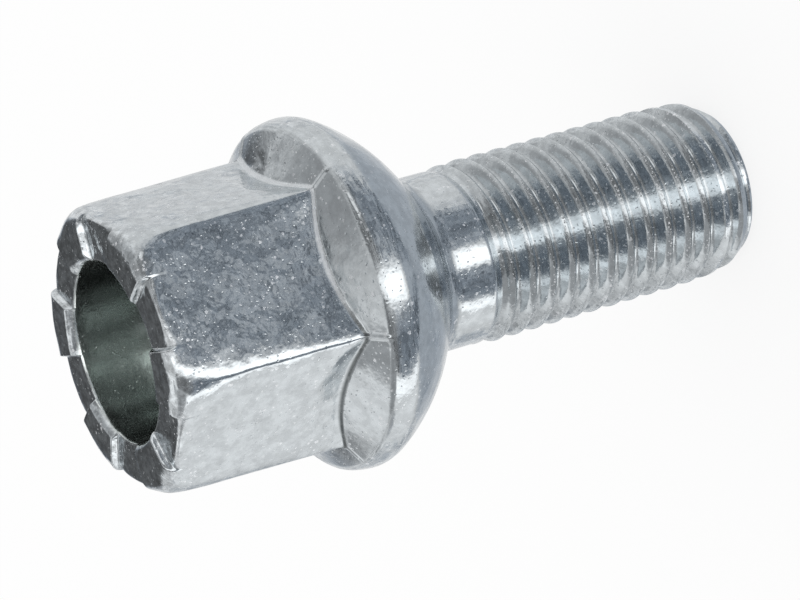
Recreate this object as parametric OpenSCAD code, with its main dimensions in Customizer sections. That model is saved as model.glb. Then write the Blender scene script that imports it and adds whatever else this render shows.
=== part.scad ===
// Wheel bolt with a hollow hexagon head, a domed ball-seat collar and a metric fine thread.
// It stands on the end of its thread: the origin is the centre of that end face and +Z runs
// up the axis to the head. One corner of the hexagon points along +X, one flat faces -Y.

/* [Head] */
// Width of the hexagon across its flats
hex_af = 17; // [15:0.5:19]
// Height of the head, from the crown down to where the hexagon corners meet the collar
head_h = 12.9; // [11.5:0.1:18]
// Distance across the worn-round corners of the hexagon
corner_d = 19.5; // [19:0.05:19.6]
// Distance across the corners at the very top of the crown
crown_d = 18; // [16:0.1:18.6]
// Height of the taper that leads from the crown to the full corners
crown_taper_h = 1.75; // [0.5:0.05:3]

/* [Crown recesses] */
// Depth of the six recesses between the corner lands
recess_depth = 0.55; // [0.2:0.05:1.2]
// Angle that each recess takes up at half its depth
recess_angle = 30; // [16:1:40]
// Slope of the recess walls from the axis of the bolt
recess_wall_slope = 45; // [10:1:60]

/* [Head bore] */
// Diameter of the blind bore in the head
bore_d = 11.6; // [8:0.1:12.5]
// Depth of the straight wall of the bore, from the crown
bore_depth = 9.5; // [4:0.1:11]
// Depth of the cone at the bottom of the bore
bore_cone_h = 1.4; // [0.2:0.1:3]
// Width of the chamfer round the mouth of the bore
mouth_chamfer = 0.6; // [0.1:0.05:0.8]

/* [Flat dishes] */
// Radius of the round edge of the shallow dish at the foot of each flat
dish_r = 5.4; // [3:0.1:8]
// Depth of a dish at its centre
dish_depth = 0.35; // [0.1:0.05:0.8]
// Drop from the hexagon corners at the collar to the centre of a dish
dish_drop = 2.2; // [0.5:0.1:3]

/* [Collar] */
// Largest diameter of the collar
collar_d = 23; // [22.6:0.1:23.7]
// Diameter of the edge where the collar's top slope ends
slope_d = 22.4; // [20.6:0.1:22.5]
// Angle of the top slope from the plane of the collar
slope_angle = 30; // [15:1:40]
// Radius of the ball seat under the collar
ball_r = 13; // [12:0.1:14]
// Height of the rounded edge, from the top slope down to the largest diameter
edge_h = 1.7; // [0.3:0.05:2]

/* [Shank] */
// Length of the bolt below the largest diameter of the collar
shank_len = 29.4; // [26:0.1:60]
// Diameter of the smooth neck under the ball seat
neck_d = 11.56; // [10.5:0.02:11.9]
// Outside diameter of the thread
thread_d = 12; // [11.8:0.1:14]
// Length of the thread with its full diameter, with the end chamfer
thread_len = 20; // [8:0.1:20.5]
// Length of the run-out between the neck and the full thread
runout_h = 0.5; // [0.1:0.1:1.5]
// Diameter of the flat end face
end_d = 10.1; // [8:0.1:11.4]
// Height of the chamfer at the end of the thread
end_chamfer_h = 1.6; // [0.3:0.1:2]

/* [Hidden] */
$fn = 96;
sides = 6;
// Overlap of solids that are united, and reach of the cutting solids past what they cut
bury = 0.5;
clear = 1;
edge_steps = 8;
hex_r = hex_af / 2 / cos(180 / sides);
collar_r = collar_d / 2;
slope_r = slope_d / 2;
// Heights above the end face
equator_z = shank_len;
slope_z = equator_z + edge_h;
foot_z = slope_z + (slope_r - corner_d / 2) * tan(slope_angle);
crown_z = foot_z + head_h;
slope_top_r = hex_af / 2 - bury;
slope_top_z = slope_z + (slope_r - slope_top_r) * tan(slope_angle);
ball_z = equator_z + sqrt(pow(ball_r, 2) - pow(collar_r, 2));
neck_z = ball_z - sqrt(pow(ball_r, 2) - pow(neck_d / 2, 2));
// Radius of the sphere that cuts a dish, and the distance of its centre from the axis
dish_ball_r = (pow(dish_r, 2) + pow(dish_depth, 2)) / (2 * dish_depth);
dish_ball_x = hex_af / 2 + dish_ball_r - dish_depth;

// Points of a quarter ellipse from the collar's largest radius in to its top slope
function edge_curve() = [
    for (i = [0 : edge_steps])
        let (a = 90 * i / edge_steps)
        [slope_r + (collar_r - slope_r) * cos(a), equator_z + edge_h * sin(a)]
];

// Body of revolution that rounds the corners of the hexagon and tapers them at the crown
module corner_envelope() {
    rotate_extrude()
        polygon([
            [0, equator_z],
            [corner_d / 2, equator_z],
            [corner_d / 2, crown_z - crown_taper_h],
            [crown_d / 2, crown_z],
            [0, crown_z]
        ]);
}

// Shallow spherical dishes that the forging dies leave at the foot of each flat
module flat_dishes() {
    for (i = [0 : sides - 1])
        rotate([0, 0, 360 / sides * (i + 0.5)])
            translate([dish_ball_x, 0, foot_z - dish_drop])
                sphere(r = dish_ball_r);
}

module hexagon() {
    difference() {
        intersection() {
            translate([0, 0, equator_z])
                cylinder(r = hex_r, h = crown_z - equator_z, $fn = sides);
            corner_envelope();
        }
        flat_dishes();
    }
}

// Half-space on one side of a sloped recess wall, as a block; side is 1 or -1
module wall_side(side) {
    reach = 2 * hex_af;
    rotate([0, 0, side * recess_angle / 2])
        translate([0, 0, crown_z - recess_depth / 2])
            rotate([-side * recess_wall_slope, 0, 0])
                translate([0, side > 0 ? -reach : 0, -reach / 2])
                    cube([reach, reach, reach]);
}

// Recesses pressed into the crown over the middle of each flat
module crown_recesses() {
    for (i = [0 : sides - 1])
        rotate([0, 0, 360 / sides * (i + 0.5)])
            intersection() {
                wall_side(1);
                wall_side(-1);
                translate([0, -hex_af / 2, crown_z - recess_depth])
                    cube([hex_af, hex_af, recess_depth + clear]);
            }
}

module head_bore() {
    translate([0, 0, crown_z - bore_depth])
        cylinder(d = bore_d, h = bore_depth + clear);
    translate([0, 0, crown_z - bore_depth - bore_cone_h])
        cylinder(d1 = 0, d2 = bore_d, h = bore_cone_h);
    translate([0, 0, crown_z - mouth_chamfer])
        cylinder(d1 = bore_d, d2 = bore_d + 2 * (mouth_chamfer + clear), h = mouth_chamfer + clear);
}

// Collar with a top slope, a rounded edge and the ball seat underneath
module collar() {
    rotate_extrude()
        polygon(concat(
            [[0, equator_z - bury], [collar_r - bury, equator_z - bury], [collar_r - bury, equator_z]],
            edge_curve(),
            [[slope_top_r, slope_top_z], [0, slope_top_z]]
        ));
    intersection() {
        translate([0, 0, ball_z])
            sphere(r = ball_r);
        translate([0, 0, neck_z - bury])
            cylinder(r = collar_r + clear, h = equator_z - neck_z + bury);
    }
}

// Smooth neck, run-out, thread at its outside diameter and the chamfered end
module shank() {
    rotate_extrude()
        polygon([
            [0, 0],
            [end_d / 2, 0],
            [thread_d / 2, end_chamfer_h],
            [thread_d / 2, thread_len],
            [neck_d / 2, thread_len + runout_h],
            [neck_d / 2, equator_z],
            [0, equator_z]
        ]);
}

module wheel_bolt() {
    color("lightsteelblue")
        difference() {
            union() {
                hexagon();
                collar();
                shank();
            }
            head_bore();
            crown_recesses();
        }
}

wheel_bolt();
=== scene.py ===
import math

import bmesh
import bpy
import numpy as np
from mathutils import Euler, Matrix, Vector


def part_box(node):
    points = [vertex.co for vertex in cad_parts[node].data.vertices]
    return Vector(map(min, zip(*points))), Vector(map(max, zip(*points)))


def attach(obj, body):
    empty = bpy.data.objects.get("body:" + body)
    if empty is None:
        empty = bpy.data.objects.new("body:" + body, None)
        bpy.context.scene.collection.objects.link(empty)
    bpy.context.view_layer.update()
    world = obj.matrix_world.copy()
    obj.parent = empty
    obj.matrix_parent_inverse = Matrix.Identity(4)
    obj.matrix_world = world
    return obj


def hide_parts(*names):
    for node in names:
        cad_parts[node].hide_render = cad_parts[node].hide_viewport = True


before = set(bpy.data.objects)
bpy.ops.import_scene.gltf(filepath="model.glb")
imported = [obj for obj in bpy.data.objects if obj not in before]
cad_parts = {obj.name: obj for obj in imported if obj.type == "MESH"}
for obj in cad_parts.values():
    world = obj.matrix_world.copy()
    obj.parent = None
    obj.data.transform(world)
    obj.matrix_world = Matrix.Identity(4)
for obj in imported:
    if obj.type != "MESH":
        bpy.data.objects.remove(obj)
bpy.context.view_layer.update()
mm = 0.001
weldGap = 0.002  # points closer than this are merged, in millimetres

# the view of the photograph, in millimetres and degrees
cameraSet = {
    "place": (-36.5, -197.9, 124.5),
    "turn": (-29.235, 59.366, -132.991),
    "lens": 157.96,
    "sensor": 36.0,
    "nearest": 10.0,
}


def addCamera(s):
    data = bpy.data.cameras.new("photoCamera")
    data.lens = s["lens"]
    data.sensor_width = s["sensor"]
    data.clip_start = s["nearest"] * mm
    cam = bpy.data.objects.new("photoCamera", data)
    cam.location = Vector(s["place"]) * mm
    cam.rotation_euler = Euler([math.radians(v) for v in s["turn"]], "XYZ")
    bpy.context.scene.collection.objects.link(cam)
    bpy.context.scene.camera = cam


addCamera(cameraSet)
print("camera set")

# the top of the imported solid, in millimetres
crownZ = (Vector(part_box("wheel_bolt")[1]) / mm).z

# the head and collar, in millimetres and degrees; names that end in Round are rounded widths
headSet = {
    "acrossFlats": 17.0,
    # corner rounding: width at the foot, higher up, at the crown; share, then width of the crease
    "cornerRound": (0.5, 1.5, 1.1),
    "cornerShare": 0.55,
    "creaseWidth": 0.04,
    # under the crown: where the rounding is widest, and where the crease starts and ends to fade
    "widestUnder": 3.0,
    "fadeUnder": (3.5, 1.2),
    # crown: radius of its top, height of its taper, radius of the corners below
    "crownRadius": 9.0,
    "crownTaper": 1.75,
    "fullCorner": 9.75,
    "crownRound": 0.5,
    # the rim gets rounder between these angles from the middle of a flat
    "rimRound": 0.3,
    "rimCornerRound": 1.2,
    "rimAngles": (3, 24),
    # recesses, with walls that fall this much for each millimetre across
    "recessDepth": 0.45,
    "recessHalfAngle": 15.0,
    "wallSteep": 3.0,
    "wallRound": 0.14,
    # hollow of the head
    "boreRadius": 5.8,
    "boreDepth": 9.5,
    "boreCone": 1.4,
    "mouthChamfer": 0.42,
    "mouthRound": 0.18,
    "coneRound": 0.54,
    # dishes at the foot of the flats
    "dishRadius": 5.4,
    "dishDepth": 0.35,
    "dishDrop": 2.2,
    "dishRound": 0.02,
    # the collar's slope, the lip at the head's foot and the raised lines below the corners
    "slopeRadius": 11.2,
    "slopeAngle": 30.0,
    "slopeRound": 0.2,
    "footLip": 0.17,
    "footRound": 0.05,
    "ridgeHeight": 0.1,
    "ridgeWidth": 0.13,
    # the collar's edge, with the share of a quarter arc that it takes, the ball seat and the neck
    "collarRadius": 11.5,
    "edgeHeight": 1.7,
    "rimArc": 0.9,
    "equator": 29.4,
    "ballRadius": 13.0,
    "seatRound": 0.3,
    "neckRadius": 5.78,
    "neckRound": 0.9,
    "neckEnd": 20.95,
    # columns from a corner to the middle of a flat; at the walls first, step and count
    "cornerColumns": (0.3, 0.7, 1.2, 1.8, 2.6, 4.6, 6.8, 9.0, 11.0, 12.2, 13.0),
    "wallColumns": (14.0, 0.22, 10),
    "flatColumns": (17.0, 19.2, 22.8, 26.4),
    # rows over the wall's top, which fan out from a hub inside it: for each of its four edges the
    # angle past the edge and the rows up to there, then the last rows and the least step
    "hubUnder": 2.4,
    "fanRows": (
        ((3, 5), (-2.5, 3)),
        ((2, 3), (-4, 4)),
        ((4, 9), (-4, 7)),
        ((4, 6), (-4, 6)),
    ),
    "fanEnd": 3,
    "fanStep": 0.25,
    # rows on the ball seat, their directions at its two ends, and the share of it that each affects
    "seatRows": 22,
    "seatAims": (-14, -32),
    "seatAimShare": 0.125,
    # how far a point is moved to reach the surface, from the fan's hub too, and the halvings
    "reach": 1.2,
    "fanReach": 4.4,
    "halvings": 36,
    "sharpAngle": 38,
    # marks for wear, painted highlights and painted shade: depth of their probe, height over the
    # neck's end where they start, and the lip's band
    "edgeReach": 0.16,
    "edgeMarksOver": 1.0,
    "footBand": (0.02, 0.3),
}


# heights that follow from the sizes
def addHeights(s):
    slopeTan = math.tan(math.radians(s["slopeAngle"]))
    s["slopeZ"] = s["equator"] + s["edgeHeight"]
    s["footZ"] = s["slopeZ"] + (s["slopeRadius"] - s["fullCorner"]) * slopeTan
    s["ballZ"] = s["equator"] + math.sqrt(s["ballRadius"] ** 2 - s["collarRadius"] ** 2)
    s["neckZ"] = s["ballZ"] - math.sqrt(s["ballRadius"] ** 2 - s["neckRadius"] ** 2)


def smoothMax(a, b, width):
    near = np.clip(width - np.abs(a - b), 0, None) / width
    return np.maximum(a, b) + near * near * width / 4


def smoothMin(a, b, width):
    return -smoothMax(-a, -b, width)


def smoothStep(value, low, high):
    t = np.clip((value - low) / (high - low), 0, 1)
    return t * t * (3 - 2 * t)


# angle from the middle of the nearest flat
def fromFlat(angle):
    return np.mod(angle, math.pi / 3) - math.pi / 6


# soft shoulders beside a fine crease, which is gone at the crown
def hexCorner(s, a, b, z):
    foot, upper, crown = s["cornerRound"]
    fadeStart, fadeEnd = s["fadeUnder"]
    nearCrown = smoothStep(z, crownZ - fadeStart, crownZ - fadeEnd)
    width = foot + (upper - foot) * smoothStep(z, s["footZ"], crownZ - s["widestUnder"])
    width = width + (crown - width) * nearCrown
    share = s["cornerShare"] + (1 - s["cornerShare"]) * nearCrown
    near = np.clip(width - np.abs(a - b), 0, None) / width
    return smoothMax(a, b, s["creaseWidth"]) + share * near * near * width / 4


# how far the crown's top lies under its lands
def recessDrop(s, r, turn):
    inside = s["wallSteep"] * r * np.sin(math.radians(s["recessHalfAngle"]) - np.abs(turn))
    drop = smoothMax(inside + s["recessDepth"] / 2, 0, s["wallRound"])
    return smoothMin(drop, s["recessDepth"], s["wallRound"])


# distances to the head's outer faces and to the collar with the neck
def headAndCollar(s, r, angle, z):
    turn = fromFlat(angle)
    flat = s["acrossFlats"] / 2
    # hexagon with its dishes
    across = r * np.sin(turn)
    ballR = (s["dishRadius"] ** 2 + s["dishDepth"] ** 2) / (2 * s["dishDepth"])
    dishZ = z - (s["footZ"] - s["dishDrop"])
    cap = np.sqrt(np.clip(ballR ** 2 - across ** 2 - dishZ ** 2, 0, None)) - ballR + s["dishDepth"]
    near = r * np.cos(turn) - flat + smoothMax(cap, 0, s["dishRound"])
    hexagon = hexCorner(s, near, r * np.cos(math.pi / 3 - np.abs(turn)) - flat, z)
    # taper and top of the crown
    lean = math.atan2(s["fullCorner"] - s["crownRadius"], s["crownTaper"])
    taper = (r - s["crownRadius"]) * math.cos(lean) + (z - crownZ) * math.sin(lean)
    head = smoothMax(hexagon, taper, s["crownRound"])
    top = z - crownZ + recessDrop(s, r, turn)
    nearCorner = smoothStep(np.abs(turn), *(math.radians(v) for v in s["rimAngles"]))
    head = smoothMax(head, top, s["rimRound"] + (s["rimCornerRound"] - s["rimRound"]) * nearCorner)
    head = np.maximum(head, s["equator"] - z)
    # slope with a raised line below each corner
    tilt = math.radians(s["slopeAngle"])
    fromCorner = fromFlat(angle + math.pi / 6)
    ridge = s["ridgeHeight"] * np.exp(-((r * np.sin(fromCorner) / s["ridgeWidth"]) ** 2))
    slope = (z - s["slopeZ"]) * math.cos(tilt) + (r - s["slopeRadius"]) * math.sin(tilt) - ridge
    # the collar's edge, ball seat and neck
    up = np.clip((z - s["equator"]) / s["edgeHeight"], 0, 1)
    bulge = 1 - np.sqrt(1 - (s["rimArc"] * up) ** 2)
    bulge = 1 - bulge / (1 - math.sqrt(1 - s["rimArc"] ** 2))
    rim = s["slopeRadius"] + (s["collarRadius"] - s["slopeRadius"]) * bulge
    ball = np.hypot(r, z - s["ballZ"]) - s["ballRadius"]
    collar = smoothMax(slope, r - rim, s["slopeRound"])
    collar = smoothMax(collar, ball, s["seatRound"])
    collar = smoothMin(collar, r - s["neckRadius"], s["neckRound"])
    return head, collar


# distance to the steel's surface, under zero inside
def steelDepth(s, r, angle, z):
    head, collar = headAndCollar(s, r, angle, z)
    lip = (head + collar - s["footLip"]) * math.sqrt(0.5)
    steel = smoothMin(smoothMin(head, collar, s["footRound"]), lip, s["footRound"])
    # hollow of the head
    mouth = (r - s["boreRadius"] - (z - crownZ + s["mouthChamfer"])) * math.sqrt(0.5)
    hollow = smoothMin(r - s["boreRadius"], mouth, s["mouthRound"])
    coneTilt = math.atan2(s["boreCone"], s["boreRadius"])
    coneZ = crownZ - s["boreDepth"] - s["boreCone"] + r * math.tan(coneTilt)
    hollow = smoothMax(hollow, (coneZ - z) * math.cos(coneTilt), s["coneRound"])
    return smoothMax(steel, -hollow, s["mouthRound"])


# angles round the head, close together at the corners and recess walls
def columnAngles(s):
    first, step, count = s["wallColumns"]
    walls = [first + step * i for i in range(count)]
    half = [*s["cornerColumns"], *walls, *s["flatColumns"]]
    sector = [0.0, *half, 30.0, *(60.0 - v for v in reversed(half))]
    return np.radians([60 * k + v for k in range(6) for v in sector])


# directions from the hub to the wall's edges, one list of columns for each row
def fanAngles(s, turn, hubR, hubZ):
    flatR = s["acrossFlats"] / 2 / np.cos(turn)
    dropIn = recessDrop(s, s["boreRadius"], turn)
    dropOut = recessDrop(s, s["crownRadius"], turn)
    lean = (s["fullCorner"] - s["crownRadius"]) / s["crownTaper"]
    topR = np.minimum(flatR, s["crownRadius"] + dropOut * lean)
    taperZ = np.minimum(crownZ - dropOut, crownZ - (flatR - s["crownRadius"]) / lean)

    def toward(r, z):
        return np.degrees(np.arctan2(z - hubZ, r - hubR))

    def between(last, angle, count):
        return [last + (angle - last) * (i / count) for i in range(count)]

    edges = (
        toward(s["boreRadius"], crownZ - s["mouthChamfer"]),
        toward(s["boreRadius"] + s["mouthChamfer"] - dropIn, crownZ - dropIn),
        toward(topR, crownZ - dropOut),
        toward(flatR, taperZ),
    )
    rows = []
    last = 180 + 0 * turn
    for edge, steps in zip(edges, s["fanRows"]):
        for past, count in steps:
            angle = np.minimum(edge + past, last - s["fanStep"] * count)
            rows += between(last, angle, count)
            last = angle
    return rows + between(last, 0 * turn, s["fanEnd"])


# shares from 0 to 1 that lie closer together at both ends
def easedShares(count):
    return [(1 - math.cos(math.pi * i / count)) / 2 for i in range(count)]


# rows of start points and directions, how far to look in and out, and how even the columns are
def headOutline(s, turn):
    one = np.ones_like(turn)
    hubR, hubZ = (s["boreRadius"] + s["acrossFlats"] / 2) / 2, crownZ - s["hubUnder"]
    flatR = s["acrossFlats"] / 2 / np.cos(turn)
    footZ = s["slopeZ"] + (s["slopeRadius"] - flatR) * math.tan(math.radians(s["slopeAngle"]))
    across = flatR * np.sin(turn)
    dishUp = np.sqrt(np.clip(s["dishRadius"] ** 2 - across ** 2, 0, None))
    dishZ = np.maximum(s["footZ"] - s["dishDrop"] + dishUp, footZ)
    floorZ = crownZ - s["boreDepth"]
    rows = []

    def addRow(r, z, aim, even):
        rows.append((r * one, z * one, aim * one, -s["reach"], s["reach"], even))

    # rows along straight lines between corners, given by radius, height, direction and row count
    def walk(corners, even=0.0):
        for (r0, z0, d0, count), (r1, z1, d1, _) in zip(corners, corners[1:]):
            for t in easedShares(count):
                aim = math.radians(d0 + (d1 - d0) * t)
                addRow(r0 + (r1 - r0) * t, z0 + (z1 - z0) * t, aim, even)

    firstAim, lastAim = s["seatAims"]
    walk([
        (0, floorZ - s["boreCone"], 90, 7),
        (s["boreRadius"], floorZ, 135, 8),
        (s["boreRadius"], hubZ, 180, 0),
    ])
    for aim in fanAngles(s, turn, hubR, hubZ):
        rows.append((hubR * one, hubZ * one, np.radians(aim), 0.0, s["fanReach"], 0.0))
    walk([
        (flatR, hubZ, 0, 10),
        (flatR, dishZ, 0, 13),
        (flatR, footZ, 30, 13),
        (s["slopeRadius"], s["slopeZ"], 45, 9),
        (s["collarRadius"], s["equator"], firstAim, 0),
    ])
    # ball seat, on which the columns spread out evenly
    start, end = (math.asin(s[k] / s["ballRadius"]) for k in ("collarRadius", "neckRadius"))
    for t in easedShares(s["seatRows"]):
        tip = start + (end - start) * t
        aim = tip - math.pi / 2
        nearFirst = max(0, 1 - t / s["seatAimShare"])
        nearLast = max(0, 1 - (1 - t) / s["seatAimShare"])
        aim += (math.radians(firstAim) - aim) * nearFirst
        aim += (math.radians(lastAim) - aim) * nearLast
        r, z = s["ballRadius"] * math.sin(tip), s["ballZ"] - s["ballRadius"] * math.cos(tip)
        addRow(r, z, aim, t)
    walk([(s["neckRadius"], s["neckZ"], lastAim, 8), (s["neckRadius"], s["neckEnd"], 0, 0)], 1.0)
    addRow(s["neckRadius"], s["neckEnd"], 0, 1.0)
    return rows


def headMesh(s):
    angles = columnAngles(s)
    ring = len(angles)
    even = np.arange(ring) * 2 * math.pi / ring
    rows = headOutline(s, fromFlat(angles))
    r, z, aim = (np.array([row[k] for row in rows]) for k in range(3))
    inner, outer, blend = (np.array([[row[k]] for row in rows]) for k in (3, 4, 5))
    inner, outer = inner + 0 * r, outer + 0 * r
    angle = angles * (1 - blend) + even * blend
    # slide each point along its direction until it lies on the rounded surface
    for _ in range(s["halvings"]):
        mid = (inner + outer) / 2
        depth = steelDepth(s, np.abs(r + mid * np.cos(aim)), angle, z + mid * np.sin(aim))
        inner = np.where(depth < 0, mid, inner)
        outer = np.where(depth < 0, outer, mid)
    r = r + inner * np.cos(aim)
    z = z + inner * np.sin(aim)
    r[-1] = s["neckRadius"]
    z[-1] = s["neckEnd"]
    # the first row is one point, the bottom of the hollow
    points = np.stack([r * np.cos(angle), r * np.sin(angle), z], 2)[1:].reshape(-1, 3)
    verts = np.concatenate([points, [[0, 0, z[0].mean()]]]) * mm
    faces = []
    for j in range(len(rows) - 2):
        for i in range(ring):
            n = (i + 1) % ring
            faces.append((j * ring + i, (j + 1) * ring + i, (j + 1) * ring + n, j * ring + n))
    faces += [(len(points), i, (i + 1) % ring) for i in range(ring)]
    mesh = bpy.data.meshes.new("boltHead")
    mesh.from_pydata(verts.tolist(), [], faces)
    mesh.update()
    return mesh, ring


addHeights(headSet)
headData, ringCount = headMesh(headSet)
print("head meshed:", len(headData.polygons), "faces")


# short hands for building a node tree
class NodeKit:
    def __init__(self, tree):
        self.nodes, self.links = tree.nodes, tree.links

    def put(self, socket, value):
        if isinstance(value, bpy.types.NodeSocket):
            self.links.new(value, socket)
        else:
            socket.default_value = value

    def calc(self, operation, *values):
        node = self.nodes.new("ShaderNodeMath")
        node.operation = operation
        for socket, value in zip(node.inputs, values):
            self.put(socket, value)
        return node.outputs[0]

    def split(self, vector):
        node = self.nodes.new("ShaderNodeSeparateXYZ")
        self.put(node.inputs[0], vector)
        return node.outputs

    def scaled(self, vector, by):
        node = self.nodes.new("ShaderNodeVectorMath")
        node.operation = "SCALE"
        self.put(node.inputs[0], vector)
        self.put(node.inputs["Scale"], by)
        return node.outputs[0]

    def mapped(self, vector, scale):
        node = self.nodes.new("ShaderNodeMapping")
        self.put(node.inputs["Vector"], vector)
        self.put(node.inputs["Scale"], scale)
        return node

    def ramp(self, value, low, high, toLow, toHigh, kind="SMOOTHSTEP"):
        node = self.nodes.new("ShaderNodeMapRange")
        node.interpolation_type = kind
        names = ("Value", "From Min", "From Max", "To Min", "To Max")
        for name, number in zip(names, (value, low, high, toLow, toHigh)):
            self.put(node.inputs[name], number)
        return node.outputs["Result"]

    def blend(self, share, a, b):
        return self.ramp(share, 0, 1, a, b, "LINEAR")

    def mix(self, share, a, b):
        node = self.nodes.new("ShaderNodeMix")
        node.data_type = "RGBA"
        for socket, value in zip((node.inputs[0], node.inputs[6], node.inputs[7]), (share, a, b)):
            self.put(socket, value)
        return node.outputs[2]

    def attribute(self, name):
        node = self.nodes.new("ShaderNodeAttribute")
        node.attribute_name = name
        return node.outputs["Fac"]

    def noise(self, place, size, detail, rough, out=0):
        node = self.nodes.new("ShaderNodeTexNoise")
        self.put(node.inputs["Vector"], place)
        self.put(node.inputs["Scale"], 1 / size)
        self.put(node.inputs["Detail"], detail)
        self.put(node.inputs["Roughness"], rough)
        return node.outputs[out]

    # round spots of several sizes in some of the cells, 1 in their middle
    def spots(self, place, spacing, radius, share):
        cells = self.nodes.new("ShaderNodeTexVoronoi")
        self.put(cells.inputs["Vector"], place)
        self.put(cells.inputs["Scale"], 1 / spacing)
        shade = self.nodes.new("ShaderNodeSeparateColor")
        self.put(shade.inputs[0], cells.outputs["Color"])
        some = self.calc("LESS_THAN", shade.outputs[0], share)
        # from 0.35 to 1.25 of the radius
        size = self.calc("MULTIPLY_ADD", shade.outputs[1], 0.9, 0.35)
        wide = self.calc("MULTIPLY", size, radius / spacing)
        spot = self.ramp(self.calc("DIVIDE", cells.outputs["Distance"], wide), 0, 1, 1, 0)
        return self.calc("MULTIPLY", spot, some)


# the zinc plate, in millimetres and degrees
zincSet = {
    "zinc": (0.585, 0.62, 0.64),
    # roughness, its spread and the size of its patches
    "roughness": 0.12,
    "roughnessSpread": 0.1,
    "wornSize": 2.2,
    # bumps: sizes and depths, then their share where turned and where that ends at the head's foot
    "bumps": [(2.8, 0.22), (1.2, 0.055), (0.42, 0.012)],
    "turnedShare": 0.25,
    "turnedFrom": (-0.3, 0.5),
    "grain": (0.3, 0.008),
    # pits: spacing, radius, share of the cells, depth
    "pits": [(0.32, 0.09, 0.7, 0.014), (1.1, 0.16, 0.35, 0.012)],
    # short nicks and longer gouges: as pits, then width for their length, and turn
    "nicks": [(1.9, 0.17, 0.45, 0.012, 0.28, 35.0), (4.2, 0.26, 0.6, 0.02, 0.32, -48.0)],
    "nickEdge": (0.1, 0.5),
    # size and reach of what takes the spots' round outline away
    "ragged": (0.16, 0.12),
    # pale crystals: as pits, without a depth; where they crowd: size, noise span, least share
    "crystals": [(0.55, 0.18, 0.6), (0.3, 0.1, 0.8)],
    "crystalEdge": (0.1, 0.6),
    "crystalShift": (3.1, 7.7, 1.9),
    "crystalCrowd": (1.5, 0.4, 0.62, 0.15),
    "paleZinc": (0.93, 0.95, 0.97),
    "crystalRoughness": 0.42,
    # more of them on the thread's crests, where they are partly painted glints: radii, and heights
    # where they end
    "crestCrystalsAndGlints": (0.2, 0.09, 0.9),
    "crestRadii": (5.72, 5.92),
    "crestEnds": (20.4, 20.9),
    # clouds: size and depth; stains of the crown: size, darkest, lightest, and how far under it
    "clouds": (0.8, 0.12),
    "cloudSpan": (0.35, 0.65),
    "stains": (0.6, 0.72, 1.3),
    "stainUnder": (0.9, 0.6),
    # worn edges with painted highlights along them, and their patches: size, noise span, least
    # share
    "edgeShare": 0.3,
    "edgeFrom": (0.14, 0.35),
    "edgeRoughness": 0.2,
    "edgePatches": (0.5, 0.35, 0.6, 0.35),
    # painted shade in the concave corners
    "paintedShade": (0.10, 0.11, 0.11),
    "cornerShadeFrom": (-0.14, -0.03),
    "paintedShadeShare": 0.85,
    "cornerShare": 0.15,
    # azimuth where the lip at the head's foot gets painted shade, not a painted highlight, and the
    # span of that as cosines
    "shadedSideAzimuth": -150.0,
    "shadedSideSpan": (0.6, 0.9),
    "footShare": 0.75,
    # hollow of the head, where the plating is thin: its radii, and heights where it starts
    "hollowZinc": (0.66, 0.70, 0.68),
    "hollowRoughness": 0.22,
    "hollowRadii": (5.75, 5.95),
    "hollowFrom": (33, 33.2),
    # light and dark stripes along the hollow, drawn marks and painted reflection bands: size,
    # squash along the axis, darkest and lightest
    "hollowStreaksAndReflections": (4.2, 0.05, 0.3, 1.4),
    "streakSpan": (0.38, 0.62),
}


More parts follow.
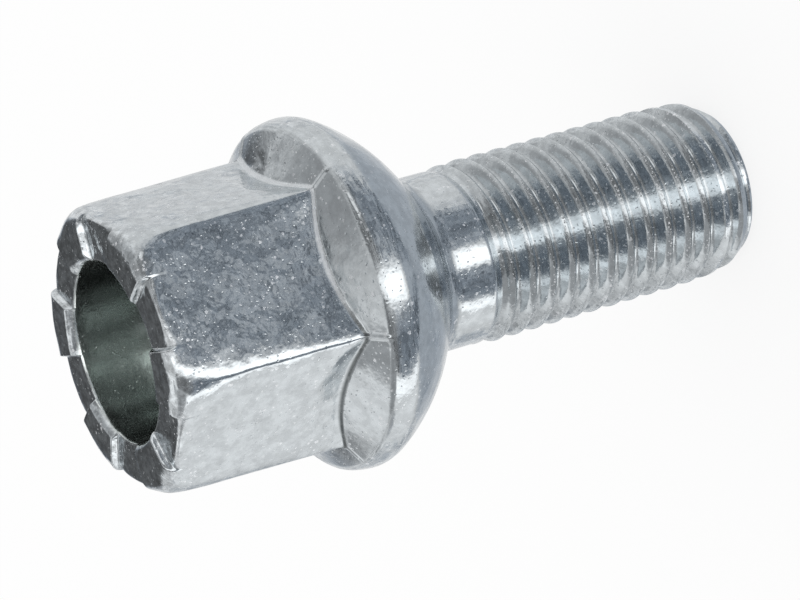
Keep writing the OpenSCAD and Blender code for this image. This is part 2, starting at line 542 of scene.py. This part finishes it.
def zincMaterial(s):
    mat = bpy.data.materials.new("zincSteel")
    mat.use_nodes = True
    kit = NodeKit(mat.node_tree)
    nodes, put, calc, ramp = kit.nodes, kit.put, kit.calc, kit.ramp
    shader = nodes["Principled BSDF"]
    put(shader.inputs["Metallic"], 1.0)

    # object coordinates in millimetres
    coords = nodes.new("ShaderNodeTexCoord")
    place = kit.mapped(coords.outputs["Object"], (1 / mm, 1 / mm, 1 / mm)).outputs[0]
    x, y, z = kit.split(place)
    across = calc("SQRT", calc("ADD", calc("POWER", x, 2), calc("POWER", y, 2)))
    inBore, over = ramp(across, *s["hollowRadii"], 1, 0), ramp(z, *s["hollowFrom"], 0, 1)
    hollow = calc("MULTIPLY", inBore, over)

    # ragged place: spots lose their round outline
    size, reach = s["ragged"]
    ragged = nodes.new("ShaderNodeVectorMath")
    ragged.operation = "MULTIPLY_ADD"
    put(ragged.inputs[0], kit.noise(place, size, 0.0, 0.5, "Color"))
    put(ragged.inputs[1], (reach, reach, reach))
    put(ragged.inputs[2], place)
    ragged = ragged.outputs[0]

    # the forged hexagon is more uneven than what is turned below it
    height = 0.0
    for size, depth in s["bumps"]:
        wave = calc("SUBTRACT", kit.noise(place, size, 1, 0.5), 0.5)
        height = calc("MULTIPLY_ADD", wave, depth, height)
    low, high = (headSet["footZ"] + v for v in s["turnedFrom"])
    height = calc("MULTIPLY", height, ramp(z, low, high, s["turnedShare"], 1))
    height = calc("MULTIPLY", height, ramp(hollow, 0, 1, 1, s["turnedShare"]))
    size, depth = s["grain"]
    height = calc("MULTIPLY_ADD", kit.noise(place, size, 1, 0.5), depth, height)
    for spacing, radius, share, depth in s["pits"]:
        height = calc("MULTIPLY_ADD", kit.spots(ragged, spacing, radius, share), -depth, height)
    nick = 0.0
    for spacing, radius, share, depth, width, degrees in s["nicks"]:
        skew = kit.mapped(ragged, (1, 1, 1 / width))
        skew.vector_type = "TEXTURE"
        put(skew.inputs["Rotation"], (math.radians(degrees), math.radians(degrees), 0))
        spot = kit.spots(skew.outputs[0], spacing, radius, share)
        height = calc("MULTIPLY_ADD", spot, -depth, height)
        nick = calc("MAXIMUM", spot, nick)
    bump = nodes.new("ShaderNodeBump")
    put(bump.inputs["Height"], height)
    put(bump.inputs["Distance"], mm)
    put(shader.inputs["Normal"], bump.outputs[0])

    size, depth = s["clouds"]
    cloud = ramp(kit.noise(place, size, 3, 0.65), *s["cloudSpan"], 1 - depth, 1 + depth / 2)
    # the crown is stained
    size, darkest, lightest = s["stains"]
    stain = ramp(kit.noise(place, size, 3, 0.7), *s["cloudSpan"], darkest, lightest)
    low, high = (crownZ - v for v in s["stainUnder"])
    cloud = calc("MULTIPLY", cloud, kit.blend(ramp(z, low, high, 0, 1), 1, stain))
    colour = kit.scaled(s["zinc"], cloud)

    # small pale crystals of zinc, some of them in the nicks, and on the thread's crests, where they
    # are partly painted glints
    shifted = nodes.new("ShaderNodeVectorMath")
    put(shifted.inputs[0], ragged)
    put(shifted.inputs[1], s["crystalShift"])
    crystal = 0.0
    for layer in s["crystals"]:
        crystal = calc("MAXIMUM", kit.spots(shifted.outputs[0], *layer), crystal)
    size, low, high, least = s["crystalCrowd"]
    crowd = ramp(kit.noise(place, size, 1, 0.6), low, high, least, 1)
    crystal = calc("MULTIPLY", ramp(crystal, *s["crystalEdge"], 0, 1), crowd)
    crest = calc("MULTIPLY", ramp(across, *s["crestRadii"], 0, 1), ramp(z, *s["crestEnds"], 1, 0))
    # pale spots on the crests, partly painted glints
    onCrest = ramp(kit.spots(ragged, *s["crestCrystalsAndGlints"]), *s["crystalEdge"], 0, 1)
    crystal = calc("MAXIMUM", crystal, calc("MULTIPLY", onCrest, crest))
    crystal = calc("MAXIMUM", crystal, ramp(nick, *s["nickEdge"], 0, 1))
    colour = kit.mix(crystal, colour, (*s["paleZinc"], 1))

    # worn edges with painted highlights along them, and the lip at the head's foot with a painted
    # highlight, and painted shade on one side of it instead
    edge, band = kit.attribute("edge"), kit.attribute("foot")
    size, low, high, least = s["edgePatches"]
    patchy = ramp(kit.noise(place, size, 1, 0.6), low, high, least, 1)
    # pale zinc on the convex edges: wear with a painted highlight
    bright = calc("MULTIPLY", ramp(edge, *s["edgeFrom"], 0, 1), patchy)
    # the side of the lip that gets painted shade instead of a painted highlight
    azimuth = math.radians(s["shadedSideAzimuth"])
    along = calc("MULTIPLY_ADD", y, math.sin(azimuth), calc("MULTIPLY", x, math.cos(azimuth)))
    onShadedSide = ramp(calc("DIVIDE", along, across), *s["shadedSideSpan"], 0, 1)
    lipWearAndHighlight = calc("MULTIPLY", band, calc("SUBTRACT", 1, onShadedSide))
    bright = calc("MAXIMUM", bright, calc("DIVIDE", lipWearAndHighlight, s["edgeShare"] / s["footShare"]))
    # painted shade in the concave corners, and on one side of the lip
    paintedShade = calc("MULTIPLY", ramp(edge, *s["cornerShadeFrom"], 1, 0), s["cornerShare"])
    paintedShade = calc("MAXIMUM", paintedShade, calc("MULTIPLY", band, onShadedSide))
    # pale zinc for wear and painted highlights on the edges and the lip
    colour = kit.mix(calc("MULTIPLY", bright, s["edgeShare"]), colour, (*s["paleZinc"], 1))

    # light and dark stripes in the hollow, drawn marks with painted reflection bands, then the
    # painted shade of the corners and of one side of the lip over everything
    size, squash, darkest, lightest = s["hollowStreaksAndReflections"]
    drawn = kit.mapped(place, (1, 1, squash)).outputs[0]
    # drawn marks with painted light and dark reflection bands
    streakAndReflection = ramp(kit.noise(drawn, size, 3, 0.35), *s["streakSpan"], darkest, lightest)
    colour = kit.mix(hollow, colour, kit.scaled(s["hollowZinc"], streakAndReflection))
    colour = kit.mix(calc("MULTIPLY", paintedShade, s["paintedShadeShare"]), colour, (*s["paintedShade"], 1))
    put(shader.inputs["Base Color"], colour)

    worn = kit.noise(place, s["wornSize"], 1, 0.6)
    least = s["roughness"] - s["roughnessSpread"] / 2
    rough = calc("MULTIPLY_ADD", worn, s["roughnessSpread"], least)
    rough = calc("MULTIPLY_ADD", crystal, s["crystalRoughness"], rough)
    rough = calc("MULTIPLY_ADD", bright, s["edgeRoughness"], rough)
    put(shader.inputs["Roughness"], kit.blend(hollow, rough, s["hollowRoughness"]))
    return mat


zinc = zincMaterial(zincSet)

# the rolled thread, in millimetres; each name is an input of its tree
threadSet = {
    "Pitch": 1.5,
    "Crest Radius": 6.0,
    "Root Radius": 5.08,
    "Flank Height": 1.299,
    "Crest Round": 0.22,
    "Root Round": 0.3,
    "Start": 0.856,
    "Turns": 16,
    "Columns": ringCount,
    "Rows Per Turn": 10,
    "Top": headSet["neckEnd"],
    "Neck Radius": headSet["neckRadius"],
    "Run Out": 2.2,
    "End Radius": 5.05,
    "Chamfer": 1.6,
    "Lead Radius": 5.84,
    "Lead Slope": 0.06,
    "Lead Round": 0.15,
    "Weld": weldGap,
}


# a long strip wound round the axis: each turn's top edge is the next turn's bottom edge
def threadTree(s):
    tree = bpy.data.node_groups.new("threadTree", "GeometryNodeTree")
    face = tree.interface
    sockets = {}
    for name, number in s.items():
        kind = "NodeSocketInt" if isinstance(number, int) else "NodeSocketFloat"
        sockets[name] = face.new_socket(name, in_out="INPUT", socket_type=kind)
    sockets["Finish"] = face.new_socket("Finish", in_out="INPUT", socket_type="NodeSocketMaterial")
    face.new_socket("Geometry", in_out="OUTPUT", socket_type="NodeSocketGeometry")
    kit = NodeKit(tree)
    nodes, put, calc = kit.nodes, kit.put, kit.calc
    given = nodes.new("NodeGroupInput").outputs
    done = nodes.new("NodeGroupOutput")

    grid = nodes.new("GeometryNodeMeshGrid")
    columns = calc("MULTIPLY", given["Turns"], given["Columns"])
    put(grid.inputs["Size X"], given["Turns"])
    put(grid.inputs["Size Y"], 1.0)
    put(grid.inputs["Vertices X"], calc("ADD", columns, 1))
    put(grid.inputs["Vertices Y"], calc("ADD", given["Rows Per Turn"], 1))
    along, aside, _ = kit.split(nodes.new("GeometryNodeInputPosition").outputs[0])
    turns = calc("ADD", along, calc("DIVIDE", given["Turns"], 2))
    up = calc("ADD", aside, 0.5)
    height = calc("SUBTRACT", calc("ADD", turns, up), 2)
    height = calc("ADD", calc("MULTIPLY", height, given["Pitch"]), given["Start"])
    height = calc("MINIMUM", calc("MAXIMUM", height, 0), given["Top"])
    # profile: 0 in the root, 1 on the crest
    wave = calc("SUBTRACT", 1, calc("ABSOLUTE", calc("SUBTRACT", calc("MULTIPLY", up, 2), 1)))
    peak = calc("ADD", given["Crest Radius"], calc("DIVIDE", given["Flank Height"], 8))
    fall = calc("MULTIPLY", given["Flank Height"], calc("SUBTRACT", 1, wave))
    radius = calc("SUBTRACT", peak, fall)
    radius = calc("SMOOTH_MIN", radius, given["Crest Radius"], given["Crest Round"])
    radius = calc("SMOOTH_MAX", radius, given["Root Radius"], given["Root Round"])
    # run-out into the neck
    left = calc("DIVIDE", calc("SUBTRACT", given["Top"], height), given["Run Out"])
    radius = kit.ramp(left, 0, 1, given["Neck Radius"], radius)
    # chamfer at the end, and a lead that is a little lower than the crests
    steep = calc("SUBTRACT", given["Crest Radius"], given["End Radius"])
    cone = calc("MULTIPLY", height, calc("DIVIDE", steep, given["Chamfer"]))
    cone = calc("ADD", cone, given["End Radius"])
    lead = calc("MULTIPLY", calc("SUBTRACT", height, given["Chamfer"]), given["Lead Slope"])
    lead = calc("ADD", lead, given["Lead Radius"])
    radius = calc("MINIMUM", radius, calc("SMOOTH_MIN", cone, lead, given["Lead Round"]))
    angle = calc("MULTIPLY", turns, 2 * math.pi)
    join = nodes.new("ShaderNodeCombineXYZ")
    put(join.inputs["X"], calc("MULTIPLY", radius, calc("COSINE", angle)))
    put(join.inputs["Y"], calc("MULTIPLY", radius, calc("SINE", angle)))
    put(join.inputs["Z"], height)
    wind = nodes.new("GeometryNodeSetPosition")
    put(wind.inputs["Geometry"], grid.outputs["Mesh"])
    put(wind.inputs["Position"], join.outputs[0])
    # flat end face
    cap = nodes.new("GeometryNodeMeshCircle")
    cap.fill_type = "TRIANGLE_FAN"
    put(cap.inputs["Vertices"], given["Columns"])
    put(cap.inputs["Radius"], given["End Radius"])
    both = nodes.new("GeometryNodeJoinGeometry")
    put(both.inputs[0], wind.outputs[0])
    put(both.inputs[0], cap.outputs["Mesh"])
    weld = nodes.new("GeometryNodeMergeByDistance")
    put(weld.inputs["Geometry"], both.outputs[0])
    put(weld.inputs["Distance"], given["Weld"])
    size = nodes.new("GeometryNodeTransform")
    put(size.inputs["Geometry"], weld.outputs[0])
    put(size.inputs["Scale"], (mm, mm, mm))
    real = nodes.new("GeometryNodeRealizeInstances")
    put(real.inputs[0], size.outputs[0])
    finish = nodes.new("GeometryNodeSetMaterial")
    put(finish.inputs["Geometry"], real.outputs[0])
    put(finish.inputs["Material"], given["Finish"])
    put(done.inputs[0], finish.outputs[0])
    return tree, sockets


def threadMesh(s, material):
    tree, sockets = threadTree(s)
    host = bpy.data.objects.new("threadHost", bpy.data.meshes.new("threadHost"))
    bpy.context.scene.collection.objects.link(host)
    mod = host.modifiers.new("thread", "NODES")
    mod.node_group = tree
    for name, number in s.items():
        mod[sockets[name].identifier] = number
    mod[sockets["Finish"].identifier] = material
    bpy.context.view_layer.update()
    done = host.evaluated_get(bpy.context.evaluated_depsgraph_get())
    mesh = bpy.data.meshes.new_from_object(done)
    host.modifiers.remove(mod)
    bpy.data.objects.remove(host)
    return mesh


threadData = threadMesh(threadSet, zinc)
print("thread wound:", len(threadData.polygons), "faces")


# edge is over 0 on the head's convex edges and under 0 in its corners; foot is 1 on the lip
def markEdges(mesh, s):
    count = len(mesh.vertices)
    place, normal = np.empty(count * 3), np.empty(count * 3)
    mesh.vertices.foreach_get("co", place)
    mesh.vertices.foreach_get("normal", normal)
    place, normal = place.reshape(-1, 3) / mm, normal.reshape(-1, 3)

    def polar(points):
        x, y, z = points.T
        return np.hypot(x, y), np.arctan2(y, x), z

    reach = s["edgeReach"]
    convex = steelDepth(s, *polar(place - normal * reach)) / reach + 1
    hollow = 1 - steelDepth(s, *polar(place + normal * reach)) / reach
    edge = np.where(convex > hollow, convex, -hollow)
    edge[place[:, 2] < s["neckEnd"] + s["edgeMarksOver"]] = 0
    nearest = np.minimum(*headAndCollar(s, *polar(place)))
    foot = smoothStep(nearest / s["footLip"], *s["footBand"]) * (place[:, 2] > s["equator"])
    for name, values in (("edge", edge), ("foot", foot)):
        layer = mesh.attributes.new(name, "FLOAT", "POINT")
        layer.data.foreach_set("value", values.astype(np.float32))


def joinBolt(head, thread, material, s):
    bm = bmesh.new()
    bm.from_mesh(head)
    bm.from_mesh(thread)
    bmesh.ops.remove_doubles(bm, verts=bm.verts, dist=weldGap * mm)
    bmesh.ops.recalc_face_normals(bm, faces=bm.faces)
    print("open edges:", sum(len(e.link_faces) != 2 for e in bm.edges))
    mesh = bpy.data.meshes.new("boltBody")
    bm.to_mesh(mesh)
    bm.free()
    mesh.materials.clear()
    mesh.materials.append(material)
    for p in mesh.polygons:
        p.use_smooth = True
        p.material_index = 0
    mesh.set_sharp_from_angle(angle=math.radians(s["sharpAngle"]))
    markEdges(mesh, s)
    obj = bpy.data.objects.new("boltBody", mesh)
    bpy.context.scene.collection.objects.link(obj)
    return obj


bolt = joinBolt(headData, threadData, zinc, headSet)
print("bolt joined:", sum(len(p.vertices) - 2 for p in bolt.data.polygons), "triangles")

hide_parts("wheel_bolt")
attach(bolt, "root")

# what the metal sees in each direction, angles in degrees: azimuth 0 is +X and -90 the front
surroundSet = {
    # azimuth and radiance
    "round": [
        (-180, 0.95), (-173, 1.7), (-166, 0.95), (-161, 0.42), (-154, 0.30), (-142, 0.27),
        (-130, 0.38), (-123, 0.50), (-117, 1.5), (-108, 1.99), (-98, 1.6), (-91, 0.60),
        (-80, 0.40), (-62, 0.32), (-48, 0.34), (-34, 0.62), (-20, 0.86), (0, 0.90), (40, 0.80),
        (62, 0.84), (100, 0.80), (125, 0.72), (150, 0.96), (165, 1.06), (174, 1.0), (180, 0.95),
    ],
    "brightest": 2,
    # shares and radiances high up and low down, each with the elevations over which it comes
    "upperShare": 0.8,
    "upperFrom": (10, 35),
    "zenith": 0.74,
    "zenithFrom": (62, 78),
    "nadirShare": 0.85,
    "nadirMost": 0.52,
    "nadirFrom": (-56, -31),
    # mottling of what is dim: scale and depth, noise span, and the radiances over which it ends
    "mottle": (16, 1.8),
    "mottleSpan": (0.3, 0.7),
    "mottleEnd": (0.5, 1.0),
    # round cards: azimuth, elevation, inner and outer angle of the edge, radiance
    "cards": [
        (20, 58, 12, 30, 0.42), (79, 24, 22, 33, 0.12), (130, 56, 18, 34, 1.0),
        (-50, 24, 5, 12, 1.1), (178, 42, 14, 26, 0.42), (158, 14, 6, 15, 0.55),
        (142, 66, 4, 14, 0.45),
    ],
    # what is dark is bluish, most of all low down: over which radiances and sines of the elevation
    # that ends, and what is left of it high up
    "shadeTint": (0.88, 1.0, 1.16),
    "shadeEnd": (0.3, 0.8),
    "shadeTop": (-0.1, 0.35),
    "shadeLeast": 0.15,
}


# radiance from the studio in a direction: pale, with grey cards and one bright strip
def surround(kit, direction, s):
    calc, ramp, blend = kit.calc, kit.ramp, kit.blend
    x, y, z = kit.split(direction)
    turn = calc("MULTIPLY_ADD", calc("ARCTAN2", y, x), 1 / (2 * math.pi), 0.5)
    node = kit.nodes.new("ShaderNodeFloatCurve")
    curve = node.mapping.curves[0]
    points = [((azimuth + 180) / 360, shown / s["brightest"]) for azimuth, shown in s["round"]]
    curve.points[0].location = points[0]
    curve.points[1].location = points[-1]
    for point in points[1:-1]:
        curve.points.new(*point)
    node.mapping.update()
    kit.put(node.inputs["Value"], turn)
    level = calc("MULTIPLY", node.outputs[0], s["brightest"])

    scale, depth = s["mottle"]
    cloud = kit.noise(direction, 1 / scale, 3, 0.6)
    mottle = ramp(cloud, *s["mottleSpan"], 1 - depth / 2, 1 + depth / 2)
    dim = ramp(level, *s["mottleEnd"], 1, 0)
    level = calc("MULTIPLY", level, blend(dim, 1, mottle))

    def climb(key, start, end):
        low, high = (math.sin(math.radians(v)) for v in s[key])
        return ramp(z, low, high, start, end)

    level = calc("MULTIPLY", level, climb("upperFrom", 1, s["upperShare"]))
    level = blend(climb("zenithFrom", 0, 1), level, s["zenith"])
    nadir = calc("MINIMUM", calc("MULTIPLY", level, s["nadirShare"]), s["nadirMost"])
    level = blend(climb("nadirFrom", 1, 0), level, nadir)
    for *angles, shown in s["cards"]:
        az, el, inner, outer = (math.radians(v) for v in angles)
        middle = (math.cos(el) * math.cos(az), math.cos(el) * math.sin(az), math.sin(el))
        near = kit.nodes.new("ShaderNodeVectorMath")
        near.operation = "DOT_PRODUCT"
        kit.put(near.inputs[0], direction)
        kit.put(near.inputs[1], middle)
        cover = ramp(near.outputs["Value"], math.cos(outer), math.cos(inner), 0, 1)
        level = blend(cover, level, shown)
    dark = ramp(level, *s["shadeEnd"], 1, 0, "LINEAR")
    blue = calc("MULTIPLY", dark, ramp(z, *s["shadeTop"], 1, s["shadeLeast"]))
    return kit.scaled(kit.mix(blue, (1, 1, 1, 1), (*s["shadeTint"], 1)), level)


# only what the metal mirrors differs from plain white
def addWorld(s):
    world = bpy.data.worlds.new("studio")
    bpy.context.scene.world = world
    world.use_nodes = True
    kit = NodeKit(world.node_tree)
    coords = kit.nodes.new("ShaderNodeTexCoord")
    path = kit.nodes.new("ShaderNodeLightPath")
    shown = surround(kit, coords.outputs["Generated"], s)
    colour = kit.mix(path.outputs["Is Glossy Ray"], (1, 1, 1, 1), shown)
    kit.put(kit.nodes["Background"].inputs["Color"], colour)


# half its width in metres, its paint, and the share of white that the camera sees
floorSet = {
    "half": 3.0,
    "paint": 0.95,
    "whiteShare": 0.8,
}


def addFloor(s, around):
    half, paint = s["half"], s["paint"]
    mesh = bpy.data.meshes.new("studioFloor")
    corners = [(-half, -half, 0), (half, -half, 0), (half, half, 0), (-half, half, 0)]
    mesh.from_pydata(corners, [], [(0, 1, 2, 3)])
    floor = bpy.data.objects.new("studioFloor", mesh)
    bpy.context.scene.collection.objects.link(floor)
    mat = bpy.data.materials.new("whiteFloor")
    mat.use_nodes = True
    kit = NodeKit(mat.node_tree)
    matt = kit.nodes["Principled BSDF"]
    kit.put(matt.inputs["Base Color"], (paint, paint, paint, 1))
    kit.put(matt.inputs["Roughness"], 1.0)
    kit.put(matt.inputs["Specular IOR Level"], 0.0)
    path = kit.nodes.new("ShaderNodeLightPath")
    glossy = path.outputs["Is Glossy Ray"]
    seen = kit.calc("MAXIMUM", path.outputs["Is Camera Ray"], path.outputs["Is Transmission Ray"])
    incoming = kit.nodes.new("ShaderNodeNewGeometry").outputs["Incoming"]
    shown = surround(kit, kit.scaled(incoming, -1.0), around)
    glow = kit.nodes.new("ShaderNodeEmission")
    kit.put(glow.inputs["Color"], kit.mix(glossy, (1, 1, 1, 1), shown))
    both = kit.nodes.new("ShaderNodeMixShader")
    share = kit.calc("MAXIMUM", kit.calc("MULTIPLY", seen, s["whiteShare"]), glossy)
    kit.put(both.inputs[0], share)
    kit.put(both.inputs[1], matt.outputs[0])
    kit.put(both.inputs[2], glow.outputs[0])
    kit.put(kit.nodes["Material Output"].inputs["Surface"], both.outputs[0])
    mesh.materials.append(mat)


addWorld(surroundSet)
addFloor(floorSet, surroundSet)
bpy.context.scene.view_settings.view_transform = "Standard"
print("studio set")
